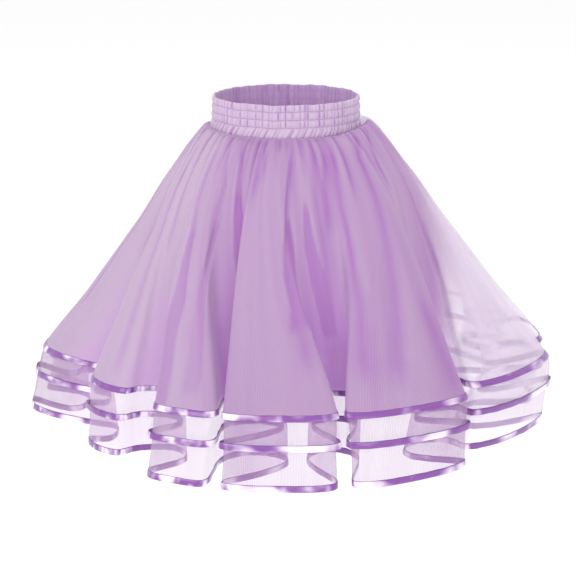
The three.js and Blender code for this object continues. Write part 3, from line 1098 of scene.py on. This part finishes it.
def to_stitch_row(down):
    return np.min(np.abs(down[..., None] - np.array(STITCH_ROWS)), axis=-1)


def band_out(angle, down, out, inside):
    chance = np.random.default_rng(BAND_SEED)
    large = puckers(angle, PUCKERS["large"], chance)
    rows = [puckers(angle, PUCKERS["small"], chance) for _ in range(len(STITCH_ROWS) + 1)]
    lean = RUFFLE_LEAN * (down - STITCH_ROWS[-1]) / (BAND_HEIGHT - STITCH_ROWS[-1])
    ruffle = puckers(angle + lean, PUCKERS["ruffle"], chance)
    back = puckers(angle, PUCKERS["large"], chance)
    row = np.searchsorted(STITCH_ROWS, down)
    small = np.choose(row, rows)
    free = HELD_SHARE + (1 - HELD_SHARE) * ease(to_stitch_row(down) / ROW_REACH)
    in_ruffle = ease((down - STITCH_ROWS[-1]) / RUFFLE_EASE)
    front = PUCKER_DEPTH["large"] * large + PUCKER_DEPTH["small"] * small
    front = front * (1 - in_ruffle) + PUCKER_DEPTH["ruffle"] * ruffle * in_ruffle
    back = -PUCKER_DEPTH["inside"] * (back + small * INSIDE_SMALL)
    return out + np.where(inside, back, front) * free


profile = band_profile(2)
angle = np.arange(BAND_COLUMNS) * TURN / BAND_COLUMNS
grid_angle, grid_down = np.meshgrid(angle, profile[:, 0], indexing="ij")
grid_out = np.broadcast_to(profile[:, 1], grid_angle.shape)
grid_out = band_out(grid_angle, grid_down, grid_out, grid_out < -BAND_WALL / 2)
band_points = band_surface(grid_angle, grid_down, grid_out)
print("waistband grid:", band_points.shape[:2])

# %% [markdown]
# Jersey is knitted, so close up it has fine upright ribs of loops. The rib mask gives the
# cloth its slight relief. The valleys between the puckers and the inside of the band are
# painted a deeper lilac as painted shade, where light that gets in bounces off more lilac
# before it comes out, and the cloth is painted a little darker along the sewn rows.

# %% Jersey material
JERSEY_PALE = colour(189, 170, 192)
JERSEY_DEEP = colour(142, 86, 164)
RIB_PITCH = 0.0011
JERSEY_BLOOM = {"Across": 45.0, "Along": 20.0}
BLOOM_DYE = 0.16
# painted shade in the creases and on the inside, and darkening along the sewn rows
CREASE_PAINTED_SHADE = 0.7
INSIDE_PAINTED_SHADE = 0.34
INSIDE_FROM = -1.6
SEWN_DARKENING = (0.1, 0.22)  # on the inside and on the outside
SEWN_REACH = 1.4
CREASE_FROM = -0.3
CREASE_RANGE = 2.0
RIB_RANGE = (0.05, 0.45)
JERSEY_ROUGHNESS = (0.88, 0.74)
JERSEY_FINISH = {"Sheen Weight": 0.35, "Sheen Roughness": 0.5}


def jersey_ribs():
    group, given, result = new_group("jersey_ribs", ["Pitch"], "Ribs")
    split = add_node(group, "SeparateXYZ", {"Vector": given.outputs["Flat"]})
    turns = compute(group, "DIVIDE", split.outputs["X"], given.outputs["Pitch"])
    wave = compute(group, "PINGPONG", turns, 0.5)
    group.links.new(ramp(group, wave, *RIB_RANGE), result.inputs["Ribs"])
    return group


def make_jersey():
    paint, tree, shader, flat = new_material("lilac_jersey")
    ribs = use_group(tree, jersey_ribs(), Flat=flat, Pitch=RIB_PITCH)
    bloom = use_group(tree, GRAIN, Flat=flat, **JERSEY_BLOOM)
    tone = compute(tree, "MULTIPLY_ADD", bloom, BLOOM_DYE, point_value(tree, "crease"), clamp=True)
    tree.links.new(mix_colour(tree, tone, JERSEY_PALE, JERSEY_DEEP), shader.inputs["Base Color"])
    tree.links.new(ramp(tree, ribs, 0.0, 1.0, *JERSEY_ROUGHNESS), shader.inputs["Roughness"])
    relief(tree, shader, ribs, 0.25)
    fill_inputs(tree, shader, JERSEY_FINISH)
    return paint


def crease_share():
    """How much painted shade the band gets in the creases and on the inside, and how much darker it is
    along the sewn rows.
    """
    mean = profile[:, 1][None, :]
    is_inside = mean < -BAND_WALL / 2
    low = (mean - grid_out) * np.where(is_inside, -1, 1)
    sewn = np.where(is_inside, *SEWN_DARKENING) * (1 - ease(to_stitch_row(grid_down) / SEWN_REACH))
    inside = INSIDE_PAINTED_SHADE * ease(INSIDE_FROM - mean)
    return np.clip(CREASE_PAINTED_SHADE * ease((low - CREASE_FROM) / CREASE_RANGE) + sewn + inside, 0, 1)


def add_waistband():
    flat = flat_cloth(BAND_CUT[0], np.linspace(0, BAND_CUT[1] * 2 / MM, len(profile)), BAND_COLUMNS)
    # the band's points keep how much painted shade they get
    band = grid_mesh("gathered_waistband", band_points, flat, round_it=True, crease=crease_share())
    band.data.materials.append(make_jersey())
    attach(band, ROOT)
    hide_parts("waistband")
    return band


waistband = add_waistband()
print(waistband.name, "faces:", len(waistband.data.polygons))

# %% [markdown]
# Rows of stitches hold the elastic. Each stitch is a short thread that dips into the cloth at
# both ends, so it is made as a small six-sided spindle laid on the band's own surface.

# %% Stitches
STITCH_PITCH = 0.0034
STITCH_LENGTH = 0.0027
THREAD_RADIUS = 0.00032
SIDES = 6
STITCH_RISE = 2.4  # in thread radii, from a stitch's ends to its middle
STITCH_SINK = 1.2
SPINDLE = [(0.0, 0.3), (0.2, 0.9), (0.5, 1.0), (0.8, 0.9), (1.0, 0.3)]
THREAD_LILAC = colour(172, 128, 190)
THREAD_TWIST = {"Across": 900.0, "Along": 900.0}


def make_thread():
    paint, tree, shader, _ = new_material("lilac_thread")
    place_on = add_node(tree, "TexCoord").outputs["Object"]
    twist = use_group(tree, GRAIN, Flat=place_on, **THREAD_TWIST)
    tree.links.new(mix_colour(tree, twist, THREAD_LILAC, JERSEY_DEEP), shader.inputs["Base Color"])
    shader.inputs["Roughness"].default_value = 0.55
    return paint


def stitch_line(down):
    """Points of the sewn line on the band's surface, closed round the waist."""
    line = np.full(BAND_COLUMNS, down)
    outside = [(at, out) for at, out in BAND_PROFILE if out > 0]
    level = np.interp(down, *np.array(sorted(outside)).T)
    out = band_out(angle, line, np.full(BAND_COLUMNS, level), np.zeros(BAND_COLUMNS, bool))
    points = band_surface(angle, line, out)
    return np.concatenate([points, points[:1]])


def spindle(line, run, start):
    """Points of one stitch: rings of points along a short stretch of the sewn line."""
    rings = []
    turn = np.arange(SIDES) * np.pi * 2 / SIDES
    for share, width in SPINDLE:
        along = start + share * STITCH_LENGTH
        centre = np.array([np.interp(along, run, line[:, k]) for k in range(3)])
        outwards = np.array([centre[0] / WAIST_WIDTH**2, centre[1] / WAIST_DEPTH**2, 0])
        outwards /= np.linalg.norm(outwards)
        centre = centre + outwards * THREAD_RADIUS * (STITCH_RISE * width - STITCH_SINK)
        ring = np.outer(np.cos(turn), outwards) + np.outer(np.sin(turn), [0, 0, 1])
        rings.append(centre + ring * THREAD_RADIUS * width)
    return np.concatenate(rings)


def spindle_faces(first):
    faces = []
    for ring in range(len(SPINDLE) - 1):
        for side in range(SIDES):
            here = first + ring * SIDES + side
            beside = first + ring * SIDES + (side + 1) % SIDES
            faces.append((here, beside, beside + SIDES, here + SIDES))
    last = first + (len(SPINDLE) - 1) * SIDES
    faces.append(tuple(range(first + SIDES - 1, first - 1, -1)))
    faces.append(tuple(range(last, last + SIDES)))
    return faces


def add_stitches():
    points, faces = [], []
    for down in STITCH_ROWS:
        line = stitch_line(down)
        run = np.concatenate([[0], np.cumsum(np.linalg.norm(np.diff(line, axis=0), axis=1))])
        for start in np.arange(0, run[-1] - STITCH_LENGTH, STITCH_PITCH):
            faces += spindle_faces(sum(map(len, points)))
            points.append(spindle(line, run, start))
    mesh = bpy.data.meshes.new("elastic_stitches")
    mesh.from_pydata(np.concatenate(points), [], faces)
    mesh.shade_smooth()
    mesh.materials.append(make_thread())
    stitches = new_object("elastic_stitches", mesh)
    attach(stitches, ROOT)
    return stitches


stitches = add_stitches()
print(stitches.name, "faces:", len(stitches.data.polygons))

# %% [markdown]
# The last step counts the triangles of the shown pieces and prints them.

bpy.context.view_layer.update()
triangles = {o.name: sum(len(p.vertices) - 2 for p in o.data.polygons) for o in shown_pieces()}
print("triangles:", sum(triangles.values()), "most in one piece:", max(triangles.values()))
